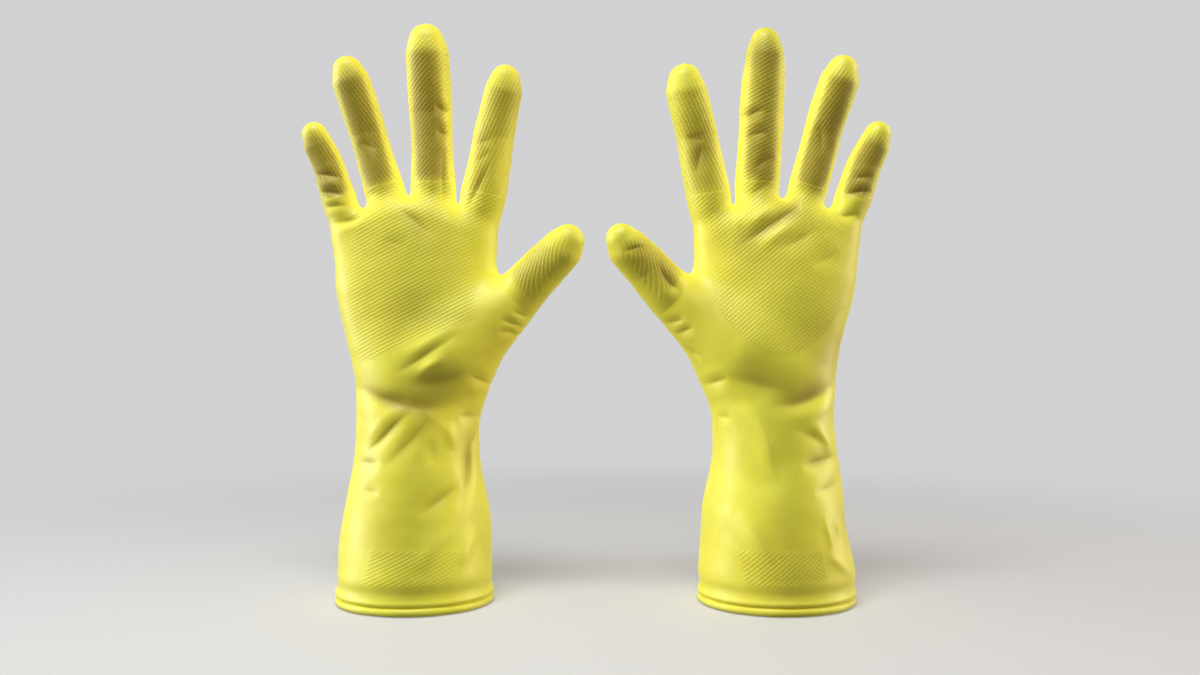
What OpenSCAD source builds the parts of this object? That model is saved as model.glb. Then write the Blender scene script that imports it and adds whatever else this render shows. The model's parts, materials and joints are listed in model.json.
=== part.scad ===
// A pair of household rubber gloves, standing open on their cuffs with the palms forward.
//
// A glove is one skin of latex film with a coat of flock inside and a rolled bead at its rim. It bends
// only at its creases, so the film is drawn as stiff lengths, and the crease between two lengths is a
// piece of film of its own, which folds on the palm side while the back stretches.
//
// Each glove is drawn as a right-hand one in its own frame: X towards the thumb, Y towards the back of
// the hand, Z up, with the origin at the middle of its rim. The left-hand glove is the mirror image.

/* [Pair] */
// Distance between the centre lines of the two gloves
pair_pitch = 190; // [182:1:260]

/* [Film] */
// Thickness of the latex film
film_t = 0.6; // [0.4:0.05:1]
// Thickness of the flock lining
lining_t = 0.4; // [0.2:0.05:0.6]
// Clearance between the film and the lining
lining_gap = 0.12; // [0.1:0.01:0.2]
// Clearance between two lengths of film where the glove bends
bend_gap = 0.3; // [0.2:0.05:0.5]

/* [Cuff] */
// Outside diameter of the cuff above its bead
cuff_d = 81; // [70:1:98]
// Height of the rolled bead
bead_h = 4; // [3:0.25:6]
// Height of the narrow of the wrist above the rim
wrist_z = 88; // [70:1:110]
// Width of the wrist across the palm
wrist_w = 64; // [54:1:76]
// Depth of the wrist from palm to back
wrist_d = 56; // [46:1:66]
// Sideways shift of the wrist towards the thumb
wrist_x = 2; // [0:0.5:4]

/* [Hand] */
// Width of the palm below the fingers
palm_w = 85; // [80:1:104]
// Depth of the palm below the fingers
palm_d = 37; // [32:1:46]
// Height from the wrist to the fork of the fingers
palm_l = 118; // [98:1:142]

/* [Fingers] */
// Length of each stall from its root crease to its tip: little, ring, middle, index
stall_l = [43, 71, 82, 68]; // [35:1:100]
// Distance from the root crease to the middle crease: little, ring, middle, index
crease_l = [19, 29, 37, 31]; // [16:1:45]
// Radius at the root crease: little, ring, middle, index
root_r = [9.6, 10.6, 11.7, 11.7]; // [8:0.1:12.2]
// Radius at the middle crease: little, ring, middle, index
mid_r = [9.2, 10.3, 11.4, 11.1]; // [8:0.1:12]
// Radius of the round tip: little, ring, middle, index
tip_r = [8, 9.6, 10.8, 10]; // [7:0.1:11.5]
// Lean towards the thumb, in degrees: little, ring, middle, index
lean = [-18, -15, -2, 10]; // [-20:1:15]

/* [Thumb] */
// Length of the thumb stall from its root crease to its tip
thumb_l = 52; // [42:1:64]
// Distance from the thumb's root crease to its middle crease
thumb_crease_l = 24; // [19:1:30]
// Radius at the thumb's root crease
thumb_root_r = 13; // [11:0.1:14.5]
// Radius at the thumb's middle crease
thumb_mid_r = 11.2; // [9.5:0.1:13]
// Radius of the thumb's round tip
thumb_tip_r = 9.4; // [8:0.1:11]
// Lean of the thumb away from the palm, in degrees
thumb_lean = 42; // [36:1:50]
// Lean of the thumb forward of the palm, in degrees
thumb_forward = 16; // [8:1:24]

/* [Bends] */
// Bend of each finger at its root at rest, in degrees
root_rest = 4; // [0:1:10]
// Bend of each stall at its middle crease at rest, in degrees
mid_rest = 8; // [0:1:14]
// Furthest that a finger bends further at its root crease, in degrees
root_bend = 60; // [20:1:65]
// Furthest that a finger bends further at its middle crease, in degrees
mid_bend = 60; // [20:1:70]
// Furthest that the thumb bends further at each crease, in degrees
thumb_bend = 40; // [20:1:50]
// Furthest that the hand bends forward at the wrist, in degrees
wrist_bend = 40; // [20:1:50]

/* [Hidden] */
HANDS = ["right", "left"];
STALLS = ["little", "ring", "middle", "index", "thumb"];
THUMB = 4;
HAND_PIECES = ["cuff", "cuff_bead", "cuff_lining", "wrist_crease", "hand", "hand_lining"];
STALL_PIECES = ["lower", "upper", "creases", "lining"];

FILM = [0.86, 0.84, 0.25];
BEAD = [0.88, 0.86, 0.30];
CREASE = [0.74, 0.71, 0.18];
LINING = [0.93, 0.90, 0.72];

// Sizes of the five stalls, thumb last
LENGTH = concat(stall_l, [thumb_l]);
CREASE_AT = concat(crease_l, [thumb_crease_l]);
ROOT_R = concat(root_r, [thumb_root_r]);
MID_R = concat(mid_r, [thumb_mid_r]);
TIP_R = concat(tip_r, [thumb_tip_r]);
ROOT_BEND = [root_bend, root_bend, root_bend, root_bend, thumb_bend];
MID_BEND = [mid_bend, mid_bend, mid_bend, mid_bend, thumb_bend];

// Where each root crease lies: shares of the palm's width, and heights above the fork of the fingers
ROOT_SHARE = [-0.472, -0.2, 0.114, 0.426, 0.63];
ROOT_RISE = [5, 11, 13, 7];
THUMB_RISE_SHARE = 0.59;
THUMB_ROOT_Y = -6;
ROOT = [
    for (f = [0:THUMB]) [
        palm_w * ROOT_SHARE[f],
        f == THUMB ? THUMB_ROOT_Y : 0,
        wrist_z + (f == THUMB ? palm_l * THUMB_RISE_SHARE : palm_l + ROOT_RISE[f])
    ]
];
LEAN = concat(lean, [thumb_lean]);
FORWARD = [root_rest, root_rest, root_rest, root_rest, thumb_forward];
// The thumb's pad is turned this far towards the fingers
TURN = [0, 0, 0, 0, -35];

// A crease bends about a line in front of the stall's middle, by this share of its radius
AXIS_SHARE = 0.35;
// Extra angle left open past the furthest bend
SPARE = 3;
// The film stands this far above its bead's top
BEAD_SEAT = 0.1;
// Reach of a cut well past what it cuts
PAST = 60;
// Room cut round each root crease beyond the stall's radius; the thumb has no neighbour
SOCKET_CLEAR = [1, 1, 1, 1, 4];

SIDES = 32;
CUFF_RINGS = 9;
PALM_RINGS = 7;

// The palm closes over in a dome from this share of its length, in these steps
DOME_FROM = 0.83;
DOME_STEPS = [0.45, 0.75, 0.92, 0.985];
DOME_NARROW = 0.75;

// Each finger's socket grows from a ball inside the palm, at these shares of its width and length
KNUCKLE_R = 7;
KNUCKLE_SHARE = 0.72;
KNUCKLE_RISE = 0.6;

// The ball of the thumb, placed from the narrow of the wrist
THENAR_R = 22;
THENAR = [20, -4, 43];

function mix(a, b, s) = a + (b - a) * s;

// The cuff runs from the rim's radius to the wrist's oval on this smooth share, 1 at the rim
function flare(u) = (1 + cos(180 * pow(min(1, max(0, u)), 1.3))) / 2;

// The hand runs from the wrist's oval to the palm's on this share, 0 at the wrist
function spread(u) = pow(sin(90 * min(1, max(0, u) / DOME_FROM)), 1.4);

function oval(z, cx, half_w, half_d) =
    [for (i = [0:SIDES - 1]) [cx + half_w * cos(360 * i / SIDES), half_d * sin(360 * i / SIDES), z]];

function cuff_ring(z, inset) =
    let (s = flare(z / wrist_z))
    oval(z, mix(wrist_x, 0, s), mix(wrist_w, cuff_d, s) / 2 - inset, mix(wrist_d, cuff_d, s) / 2 - inset);

// A ring of the palm at share u of its length; the dome over the top closes at v = 1
function palm_ring(u, v, inset) =
    let (s = spread(u), close = sqrt(1 - v * v))
    oval(
        wrist_z + u * palm_l - (v > 0 ? inset : 0),
        mix(wrist_x, 0, s),
        mix(wrist_w, palm_w, s) / 2 * mix(DOME_NARROW, 1, close) - inset,
        max(0.5, mix(wrist_d, palm_d, s) / 2 * close - inset)
    );

// A closed solid through rings of points, listed from the lowest up
module loft(rings) {
    n = len(rings[0]);
    m = len(rings);
    walls = [
        for (k = [0:m - 2]) for (i = [0:n - 1])
            let (a = k * n + i, b = k * n + (i + 1) % n)
            each [[a, a + n, b + n], [a, b + n, b]]
    ];
    foot = [for (i = [0:n - 1]) i];
    head = [for (i = [n - 1:-1:0]) (m - 1) * n + i];
    polyhedron([for (r = rings) each r], concat([foot], walls, [head]));
}

// What lies above a crease, with the room that the bend needs cut out of its palm side
module above_bend(axis_in, bend, half_x, reach) {
    fold = tan(bend / 2 + SPARE);
    rotate([90, 0, 90])
        linear_extrude(2 * half_x, center = true)
            polygon([
                [reach, -bend_gap / 2],
                [reach, reach],
                [-reach, reach],
                [-reach, -bend_gap / 2 - (reach - axis_in) * fold],
                [-axis_in, -bend_gap / 2]
            ]);
}

module below_bend(axis_in, bend, half_x, reach) {
    mirror([0, 0, 1]) above_bend(axis_in, bend, half_x, reach);
}

// The room itself, less a clearance, which the crease's own film fills
module in_bend(axis_in, bend, half_x, reach) {
    fold = tan(bend / 2 + SPARE);
    high = (reach - axis_in) * fold - bend_gap;
    rotate([90, 0, 90])
        linear_extrude(2 * half_x, center = true)
            polygon([[-axis_in - bend_gap / fold, 0], [-reach, -high], [-reach, high]]);
}

// Frames: a stall's root crease, the middle of its middle crease, and the stall past that crease
module at_root(f) {
    translate(ROOT[f])
        rotate([0, LEAN[f], 0])
            rotate([FORWARD[f], 0, 0])
                rotate([0, 0, TURN[f]])
                    children();
}

module at_middle(f, share) {
    axis_in = MID_R[f] * AXIS_SHARE;
    translate([0, -axis_in, CREASE_AT[f]])
        rotate([mid_rest * share, 0, 0])
            translate([0, axis_in, 0])
                children();
}

// The lower length of a stall, a slightly tapered tube, inset and thick as given
module lower_tube(f, inset, thick) {
    slope = (MID_R[f] - ROOT_R[f]) / CREASE_AT[f];
    over = MID_R[f] * sin(mid_rest);
    outer = ROOT_R[f] - inset;
    difference() {
        rotate_extrude($fn = 64)
            polygon([
                [outer - thick, 0],
                [outer, 0],
                [outer + slope * (CREASE_AT[f] + over), CREASE_AT[f] + over],
                [outer - thick + slope * (CREASE_AT[f] + over), CREASE_AT[f] + over]
            ]);
        below_bend(ROOT_R[f] * AXIS_SHARE, ROOT_BEND[f], PAST / 2, PAST / 2);
        at_middle(f, 0.5)
            above_bend(MID_R[f] * AXIS_SHARE, MID_BEND[f], PAST / 2, PAST / 2);
    }
}

// The upper length, with its round tip, from the middle crease
module upper_tube(f, inset, thick) {
    l = LENGTH[f] - CREASE_AT[f];
    over = MID_R[f] * sin(mid_rest);
    foot = MID_R[f] - inset;
    tip = TIP_R[f];
    function arc(r, angles) = [for (a = angles) [r * cos(a), l - tip + r * sin(a)]];
    difference() {
        at_middle(f, 1)
            rotate_extrude($fn = 64)
                polygon(concat(
                    [[foot, -over]],
                    arc(tip - inset, [0:15:90]),
                    arc(tip - inset - thick, [90:-15:0]),
                    [[foot - thick, -over]]
                ));
        at_middle(f, 0.5)
            below_bend(MID_R[f] * AXIS_SHARE, MID_BEND[f], PAST / 2, PAST / 2);
    }
}

module lower(f) {
    color(FILM) at_root(f) lower_tube(f, 0, film_t);
}

module upper(f) {
    color(FILM) at_root(f) upper_tube(f, 0, film_t);
}

// The film that folds at a stall's two creases
module crease_film(r, bend) {
    intersection() {
        difference() {
            cylinder(r = r, h = 2 * r, center = true, $fn = 64);
            cylinder(r = r - film_t, h = 3 * r, center = true, $fn = 64);
        }
        in_bend(r * AXIS_SHARE, bend, r, 2 * r);
    }
}

module creases(f) {
    color(CREASE) at_root(f) {
        crease_film(ROOT_R[f], ROOT_BEND[f]);
        at_middle(f, 0.5) crease_film(MID_R[f], MID_BEND[f]);
    }
}

module lining(f) {
    inset = film_t + lining_gap;
    color(LINING) at_root(f) {
        lower_tube(f, inset, lining_t);
        upper_tube(f, inset, lining_t);
    }
}

// The hand as a filled form: palm, four finger sockets, thumb base and its socket
module hand_form(inset, below) {
    palm = [for (k = [0:PALM_RINGS]) palm_ring(k / PALM_RINGS * DOME_FROM, 0, inset)];
    dome = [for (v = DOME_STEPS) palm_ring(mix(DOME_FROM, 1, v), v, inset)];
    foot = [for (p = palm[0]) p - [0, 0, below]];
    loft(concat(below > 0 ? [foot] : [], palm, dome));
    for (f = [0:THUMB - 1])
        hull() {
            at_root(f) cylinder(r = ROOT_R[f] - inset, h = 1, $fn = SIDES);
            translate([ROOT[f].x * KNUCKLE_SHARE, 0, wrist_z + palm_l * KNUCKLE_RISE])
                sphere(r = KNUCKLE_R - inset, $fn = 16);
        }
    hull() {
        at_root(THUMB) cylinder(r = thumb_root_r - inset, h = 1, $fn = SIDES);
        translate([THENAR[0], THENAR[1], THENAR[2] + wrist_z])
            sphere(r = THENAR_R - inset, $fn = SIDES);
    }
}

// One layer of the hand, open at the wrist and at the five root creases
module hand_layer(inset, thick) {
    difference() {
        hand_form(inset, 0);
        hand_form(inset + thick, 1);
        for (f = [0:THUMB])
            at_root(f)
                above_bend(
                    ROOT_R[f] * AXIS_SHARE,
                    ROOT_BEND[f],
                    ROOT_R[f] + SOCKET_CLEAR[f],
                    ROOT_R[f] + SOCKET_CLEAR[f]
                );
        translate([0, 0, wrist_z])
            below_bend(wrist_d / 2 * AXIS_SHARE, wrist_bend, PAST, PAST);
    }
}

module hand() {
    color(FILM) hand_layer(0, film_t);
}

module hand_lining() {
    color(LINING) hand_layer(film_t + lining_gap, lining_t);
}

// One layer of the cuff, from above the bead to the wrist
module cuff_layer(inset, thick, from_z) {
    function level(k) = mix(from_z, wrist_z, k / CUFF_RINGS);
    outer = [for (k = [0:CUFF_RINGS]) cuff_ring(level(k), inset)];
    inner = [for (k = [0:CUFF_RINGS]) cuff_ring(level(k), inset + thick)];
    foot = [for (p = inner[0]) p - [0, 0, 1]];
    head = [for (p = inner[CUFF_RINGS]) p + [0, 0, 1]];
    difference() {
        loft(outer);
        loft(concat([foot], inner, [head]));
        translate([0, 0, wrist_z])
            above_bend(wrist_d / 2 * AXIS_SHARE, wrist_bend, PAST, PAST);
    }
}

module cuff() {
    color(FILM) cuff_layer(0, film_t, bead_h);
}

module cuff_lining() {
    color(LINING) cuff_layer(film_t + lining_gap, lining_t, bead_h);
}

// The rolled bead, with the flat foot that the glove stands on
module cuff_bead() {
    roll_r = bead_h / 2 + 0.1;
    color(BEAD)
        rotate_extrude($fn = 96)
            intersection() {
                translate([cuff_d / 2 - film_t, bead_h - roll_r]) circle(r = roll_r, $fn = 32);
                square([cuff_d, bead_h - BEAD_SEAT]);
            }
}

module wrist_crease() {
    color(CREASE)
        intersection() {
            difference() {
                loft([for (k = [-1, 1]) oval(wrist_z + k * wrist_d / 3, wrist_x, wrist_w / 2, wrist_d / 2)]);
                loft([
                    for (k = [-1, 1])
                        oval(wrist_z + k * wrist_d / 2, wrist_x, wrist_w / 2 - film_t, wrist_d / 2 - film_t)
                ]);
            }
            translate([0, 0, wrist_z])
                in_bend(wrist_d / 2 * AXIS_SHARE, wrist_bend, PAST, PAST);
        }
}

// Puts a right-hand glove's piece in its place in the pair
module glove(h) {
    side = h == "right" ? -1 : 1;
    translate([side * pair_pitch / 2, 0, 0])
        mirror([h == "right" ? 0 : 1, 0, 0])
            children();
}

for (h = HANDS) {
    glove(h) cuff();
    glove(h) cuff_bead();
    glove(h) cuff_lining();
    glove(h) wrist_crease();
    glove(h) hand();
    glove(h) hand_lining();
    for (f = [0:THUMB]) {
        glove(h) lower(f);
        glove(h) upper(f);
        glove(h) creases(f);
        glove(h) lining(f);
    }
}
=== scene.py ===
import itertools
import json
import math

import bmesh
import bpy
import numpy as np
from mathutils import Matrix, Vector


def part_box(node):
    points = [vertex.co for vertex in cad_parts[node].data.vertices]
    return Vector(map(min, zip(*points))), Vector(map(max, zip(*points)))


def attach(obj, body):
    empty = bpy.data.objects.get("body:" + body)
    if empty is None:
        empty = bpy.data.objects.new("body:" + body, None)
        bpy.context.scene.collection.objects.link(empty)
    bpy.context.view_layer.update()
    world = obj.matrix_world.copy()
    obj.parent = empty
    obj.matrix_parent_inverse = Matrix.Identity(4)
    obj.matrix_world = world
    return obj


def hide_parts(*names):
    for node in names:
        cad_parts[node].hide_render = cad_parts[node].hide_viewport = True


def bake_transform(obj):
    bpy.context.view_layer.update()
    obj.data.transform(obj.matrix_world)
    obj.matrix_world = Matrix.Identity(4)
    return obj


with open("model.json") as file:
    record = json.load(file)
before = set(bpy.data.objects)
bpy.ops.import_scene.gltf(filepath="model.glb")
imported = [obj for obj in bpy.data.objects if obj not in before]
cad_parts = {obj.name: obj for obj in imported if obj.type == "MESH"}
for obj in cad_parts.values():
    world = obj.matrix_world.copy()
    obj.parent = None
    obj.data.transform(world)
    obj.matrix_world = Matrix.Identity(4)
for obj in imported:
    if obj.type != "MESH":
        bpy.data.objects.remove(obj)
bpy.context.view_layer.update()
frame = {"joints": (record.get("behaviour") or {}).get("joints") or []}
scene = bpy.context.scene

# ---------------------------------------------------------------- the former
# Latex gloves are dipped: a hand-shaped former goes into the liquid rubber, and the film takes its
# shape. This is the right-hand former as a distance field, below nought inside, in millimetres from
# the middle of the rim: X towards the thumb, Y towards the back of the hand, Z up to the fingertips.
MM = 1000
FINGERS = ("little", "ring", "middle", "index", "thumb")


def each_finger(*values):
    return dict(zip(FINGERS, values))


ROOT_R = each_finger(9.4, 10.3, 11.2, 11.5, 13.0)
MIDDLE_R = each_finger(9.0, 10.0, 11.1, 11.0, 11.6)
PAD_R = each_finger(8.4, 9.7, 10.6, 10.3, 10.4)
TIP_R = each_finger(6.9, 7.7, 8.6, 8.2, 8.0)
PAD_DROP = 6.5  # the pad is widest this far below the middle of the round tip
TIP_SWAY = each_finger(-1.2, -0.3, 0, 1.6, 2.2)  # how far the tip leans towards the thumb's side
PAD_SWAY = 0.3  # and the pad, as a share of that
TIP_TRIM = each_finger(1, 1, 1, -0.3, 1)  # how far the tip stops below its solid
HINGE_INSET = 0.35  # a crease bends about a line this share of its radius in front of the middle
REST_BEND = math.radians(8)
FINGER_START = 172  # the fingers grow out of the palm from this height,
START_TAPER = 0.8  # where they are this share of their width at the root
THENAR = np.array((20.0, -4.0, 131.0))
THENAR_R = 22.0

# Height, left edge, right edge and half depth of the cuff, wrist and palm
BODY = np.array((
    (0, -40.8, 40.8, 40.6),
    (15, -40.8, 40.8, 40.0),
    (46, -36.3, 38.7, 35.5),
    (77, -31.2, 33.8, 30.0),
    (95, -29.8, 34.0, 28.0),
    (116, -31.5, 38.5, 26.0),
    (140, -36.0, 41.6, 23.0),
    (163, -40.8, 42.2, 20.5),
    (190, -42.9, 42.4, 18.0),
    (214, -45.0, 44.5, 14.0),
))
FORK_TOP = 209.5  # height of the palm's top edge between the fingers, at its crown
FORK_FALL = 0.0085  # and how fast it falls away to both sides
FORK_CROWN_X = -2
FORK_ROUND = 10
WEB_FILLET = 3.5  # between two fingers
ROOT_FILLET = 7  # between the fingers and the palm
BALL_FILLET = 12  # round the ball of the thumb

bead_low, bead_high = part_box("right_cuff_bead")
GLOVE_X = (bead_low.x + bead_high.x) / 2 * MM
hinges = {joint["name"]: joint for joint in frame["joints"]}


def unit(vector):
    return vector / np.linalg.norm(vector)


def own_place(point_m):
    return np.array(point_m) * MM - (GLOVE_X, 0, 0)


class Stall:
    """One finger: its axes, and the middles of its root, its middle crease and its round tip."""

    def __init__(self, name):
        root = hinges[f"right_{name}_root_bend"]
        middle = hinges[f"right_{name}_middle_bend"]
        self.name = name
        self.across = unit(np.array(root["axis"]))
        self.along = unit(own_place(middle["pos_m"]) - own_place(root["pos_m"]))
        self.back = np.cross(self.along, self.across)
        self.root = own_place(root["pos_m"]) + self.back * HINGE_INSET * ROOT_R[name]
        self.middle = own_place(middle["pos_m"]) + self.back * HINGE_INSET * MIDDLE_R[name]
        self.crease = np.dot(self.middle - self.root, self.along)
        self.upward = self.along * math.cos(REST_BEND) - self.back * math.sin(REST_BEND)
        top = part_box(f"right_{name}_upper")[1].z * MM - TIP_TRIM[name]
        sway = self.across * TIP_SWAY[name]
        self.tip = self.middle + self.upward * (top - TIP_R[name] - self.middle[2]) / self.upward[2]
        self.tip = self.tip + sway
        self.pad = self.tip - unit(self.tip - self.middle) * PAD_DROP + sway * PAD_SWAY
        places = (self.root, self.middle, self.pad, self.tip)
        self.chain = list(zip(places, (size[name] for size in (ROOT_R, MIDDLE_R, PAD_R, TIP_R))))
        start = self.root - self.along * (self.root[2] - FINGER_START) / self.along[2]
        self.start = (THENAR, THENAR_R) if name == "thumb" else (start, ROOT_R[name] * START_TAPER)

    def run_and_gap(self, points):
        """How far along from the root crease each point is, and how far from the finger's axis."""
        past = points - self.root
        run = past @ self.along
        return run, np.linalg.norm(past - np.outer(run, self.along), axis=1)


stalls = {name: Stall(name) for name in FINGERS}


def curve_through(height, column):
    """Smooth value of one column of BODY at each height."""
    knots, values = BODY[:, 0], BODY[:, column]
    slopes = np.gradient(values, knots)
    height = np.clip(height, knots[0], knots[-1])
    i = np.clip(np.searchsorted(knots, height) - 1, 0, len(knots) - 2)
    span = knots[i + 1] - knots[i]
    t = (height - knots[i]) / span
    rise = values[i + 1] - values[i]
    bend_a = slopes[i] * span - rise
    bend_b = rise - slopes[i + 1] * span
    return values[i] + t * rise + t * (1 - t) * ((1 - t) * bend_a + t * bend_b)


def joined(a, b, reach):
    """The two fields as one, with a fillet where they meet."""
    near = np.maximum(reach - np.abs(a - b), 0) / reach
    return np.minimum(a, b) - near * near * reach / 4


def limb(points, a, b, radius_a, radius_b):
    """Two balls, and the cone that touches both."""
    run = b - a
    long = run @ run
    thinning = radius_a - radius_b
    slant = long - thinning ** 2
    past = points - a
    along = past @ run
    aside = ((past * long - along[..., None] * run) ** 2).sum(-1)
    end = along - long
    limit = np.sign(thinning) * thinning ** 2 * aside
    near_b = np.sign(end) * slant * end ** 2 * long > limit
    near_a = np.sign(along) * slant * along ** 2 * long < limit
    ball_b = np.sqrt(aside + end ** 2 * long) / long - radius_b
    ball_a = np.sqrt(aside + along ** 2 * long) / long - radius_a
    cone = (np.sqrt(aside * slant / long) + along * thinning) / long - radius_a
    return np.where(near_b, ball_b, np.where(near_a, ball_a, cone))


def finger_field(points, chain):
    """A finger as a row of limbs; its own chain runs from its root to its tip."""
    limbs = [limb(points, a, b, radius_a, radius_b)
             for (a, radius_a), (b, radius_b) in zip(chain, chain[1:])]
    return np.minimum.reduce(limbs)


def body_field(points):
    """The cuff, wrist and palm, up to the forks of the fingers."""
    x, y, z = points[..., 0], points[..., 1], points[..., 2]
    left, right = curve_through(z, 1), curve_through(z, 2)
    half, deep = (right - left) / 2, curve_through(z, 3)
    x = x - (left + right) / 2
    outward = np.sqrt((x / half) ** 2 + (y / deep) ** 2) + 1e-6
    steep = np.sqrt((x / half ** 2) ** 2 + (y / deep ** 2) ** 2) + 1e-6
    wall = outward * (outward - 1) / steep
    top = z - FORK_TOP + FORK_FALL * (points[..., 0] - FORK_CROWN_X) ** 2
    return -joined(-wall, -top, FORK_ROUND)


def former(points):
    """The whole former: the body, the four fingers, and the thumb on its ball."""
    *fingers, thumb = (
        finger_field(points, [stall.start, *stall.chain]) for stall in stalls.values())
    row = fingers[0]
    for finger in fingers[1:]:
        row = joined(row, finger, WEB_FILLET)
    return joined(joined(body_field(points), row, ROOT_FILLET), thumb, BALL_FILLET)


# ---------------------------------------------------------------- the film
# The film is one skin about 1 mm thick with its flock. Its outer face is drawn on a fine mesh, and is
# cut where the glove bends, so that each length can move with its own part of the hand.
CELL = 1.55
GRID = ((-72, -48, -3), (106, 48, 306))  # lowest and highest corner of the block it is worked out in
RELAX_ROUNDS = 3
SLOPE_STEP = 0.05  # the former's slope is felt for over this distance
FILM_FOOT = 3.4  # the film runs down into the bead to this height
WALL = 1.1
CUFF_TOP = 60
WRIST_TOP = 124
ROOT_CUT = -3.5  # a finger's lower length starts this far along from its root crease
CREASE_CUT = each_finger(-8.5, -9.5, -9.5, -9.5, -5.5)
THUMB_CUT = 6.5  # the thumb's starts above its web, on a plane turned outwards
THUMB_CUT_TURN = 0.4
CUT_REACH = 4  # a finger's cut divides only the faces this near to it,
STALL_REACH = 6  # and this far outside the finger's own radius
STALL_BACK = 1.5  # a finger begins this far before its root cut
CUT_SNAP = 0.2  # points this near to a cut move onto it
LENGTHS = ["cuff", "wrist", "hand"] + [f"{n}_{end}" for n in FINGERS for end in ("lower", "upper")]


def quad_skin(field, low, high, cell):
    """Quads through the grid cells that the field's surface crosses, facing outwards."""
    ticks = [np.arange(a, b, cell) for a, b in zip(low, high)]
    inside = field(np.stack(np.meshgrid(*ticks, indexing="ij"), -1)) < 0
    nx, ny, nz = (n - 1 for n in inside.shape)
    corners = sum(
        inside[i:i + nx, j:j + ny, k:k + nz].astype(np.int8)
        for i, j, k in itertools.product((0, 1), repeat=3))
    crossed = (corners > 0) & (corners < 8)
    number = np.full(crossed.shape, -1)
    number[crossed] = np.arange(np.count_nonzero(crossed))
    points = np.array(low) + (np.argwhere(crossed) + 0.5) * cell
    quads = []
    for axis in range(3):
        first, second = (axis + 1) % 3, (axis + 2) % 3
        starts = [slice(1, -1)] * 3
        ends = [slice(1, -1)] * 3
        starts[axis], ends[axis] = slice(0, -1), slice(1, None)
        start, end = inside[tuple(starts)], inside[tuple(ends)]
        edges = np.argwhere(start != end)
        outward = start[tuple(edges.T)]
        edges[:, [first, second]] += 1
        around = []
        for step_a, step_b in ((1, 1), (0, 1), (0, 0), (1, 0)):
            cells = edges.copy()
            cells[:, first] -= step_a
            cells[:, second] -= step_b
            around.append(number[tuple(cells.T)])
        ring = np.stack(around, 1)
        quads.append(np.where(outward[:, None], ring, ring[:, ::-1]))
    return points, np.concatenate(quads)


def settle(points, rounds=2):
    """Moves points onto the former, and gives the way out of it at each."""
    for _ in range(rounds):
        value = former(points)
        slope = np.stack(
            [(former(points + SLOPE_STEP * way) - value) / SLOPE_STEP for way in np.eye(3)], 1)
        points = points - (value / (slope ** 2).sum(1))[:, None] * slope
    return points, slope / np.linalg.norm(slope, axis=1)[:, None]


def relax(points, quads, rounds):
    """Evens out the spacing of a skin's points over the former."""
    a, b = quads.ravel(), np.roll(quads, -1, 1).ravel()
    valence = np.bincount(a, minlength=len(points)) + np.bincount(b, minlength=len(points))
    for _ in range(rounds):
        total = np.stack([
            np.bincount(a, points[b, i], len(points)) + np.bincount(b, points[a, i], len(points))
            for i in range(3)], 1)
        points = settle((points + total / valence[:, None]) / 2, 1)[0]
    return points


def cut_planes():
    """Each cut: a point on it, its direction, and the finger it is for, or none for the whole body."""
    yield np.array((0, 0, CUFF_TOP)), np.array((0, 0, 1)), None
    yield np.array((0, 0, WRIST_TOP)), np.array((0, 0, 1)), None
    for stall in stalls.values():
        yield *root_plane(stall), stall
        yield stall.root + stall.along * (stall.crease + CREASE_CUT[stall.name]), stall.along, stall


def root_plane(stall):
    if stall.name != "thumb":
        return stall.root + stall.along * ROOT_CUT, stall.along
    outward = unit(np.array((stall.along[2], 0, -stall.along[0])))
    inner_edge = stall.root + stall.along * THUMB_CUT - outward * ROOT_R["thumb"]
    return inner_edge, unit(stall.along + outward * THUMB_CUT_TURN)


def nearest_finger(points):
    """The number of the finger that each point is nearest to."""
    return np.argmin([finger_field(points, stall.chain) for stall in stalls.values()], 0)


def near_finger(points, stall):
    """Which points lie on the finger itself, past its root plane."""
    place, way = root_plane(stall)
    close = stall.run_and_gap(points)[1] < ROOT_R[stall.name] + STALL_REACH
    own = nearest_finger(points) == FINGERS.index(stall.name)
    return ((points - place) @ way > -STALL_BACK) & close & own


def cut_skin(points, quads):
    """The skin with new edges along every cut, and without what lies below its foot."""
    mesh = bmesh.new()
    for point in points:
        mesh.verts.new(point)
    mesh.verts.ensure_lookup_table()
    for quad in quads.tolist():
        mesh.faces.new([mesh.verts[i] for i in quad])
    whole = mesh.verts[:] + mesh.edges[:] + mesh.faces[:]
    bmesh.ops.bisect_plane(
        mesh, geom=whole, dist=CUT_SNAP, plane_co=(0, 0, FILM_FOOT), plane_no=(0, 0, 1), clear_inner=True)
    for place, way, stall in cut_planes():
        faces = mesh.faces[:]
        if stall:
            middles = np.array([face.calc_center_median() for face in faces])
            close = near_finger(middles, stall) & (np.abs((middles - place) @ way) < CUT_REACH)
            faces = [face for face, kept in zip(faces, close) if kept]
        edges = list({edge for face in faces for edge in face.edges})
        verts = list({vert for face in faces for vert in face.verts})
        bmesh.ops.bisect_plane(
            mesh, geom=verts + edges + faces, dist=CUT_SNAP, plane_co=place, plane_no=way)
    mesh.verts.index_update()
    points = np.array([vert.co for vert in mesh.verts])
    faces = [[vert.index for vert in face.verts] for face in mesh.faces]
    mesh.free()
    return points, faces


def length_numbers(points):
    """Which of LENGTHS each point belongs to."""
    number = np.searchsorted((CUFF_TOP, WRIST_TOP), points[:, 2])
    for i, stall in enumerate(stalls.values()):
        place, way = root_plane(stall)
        on_it = near_finger(points, stall) & ((points - place) @ way > 0)
        upper = (points - stall.root) @ stall.along > stall.crease + CREASE_CUT[stall.name]
        number[on_it] = 3 + 2 * i
        number[on_it & upper] = 4 + 2 * i
    return number


def edge_key(a, b):
    return (a, b) if a < b else (b, a)


def sides(face):
    return list(zip(face, face[1:] + face[:1]))


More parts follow.
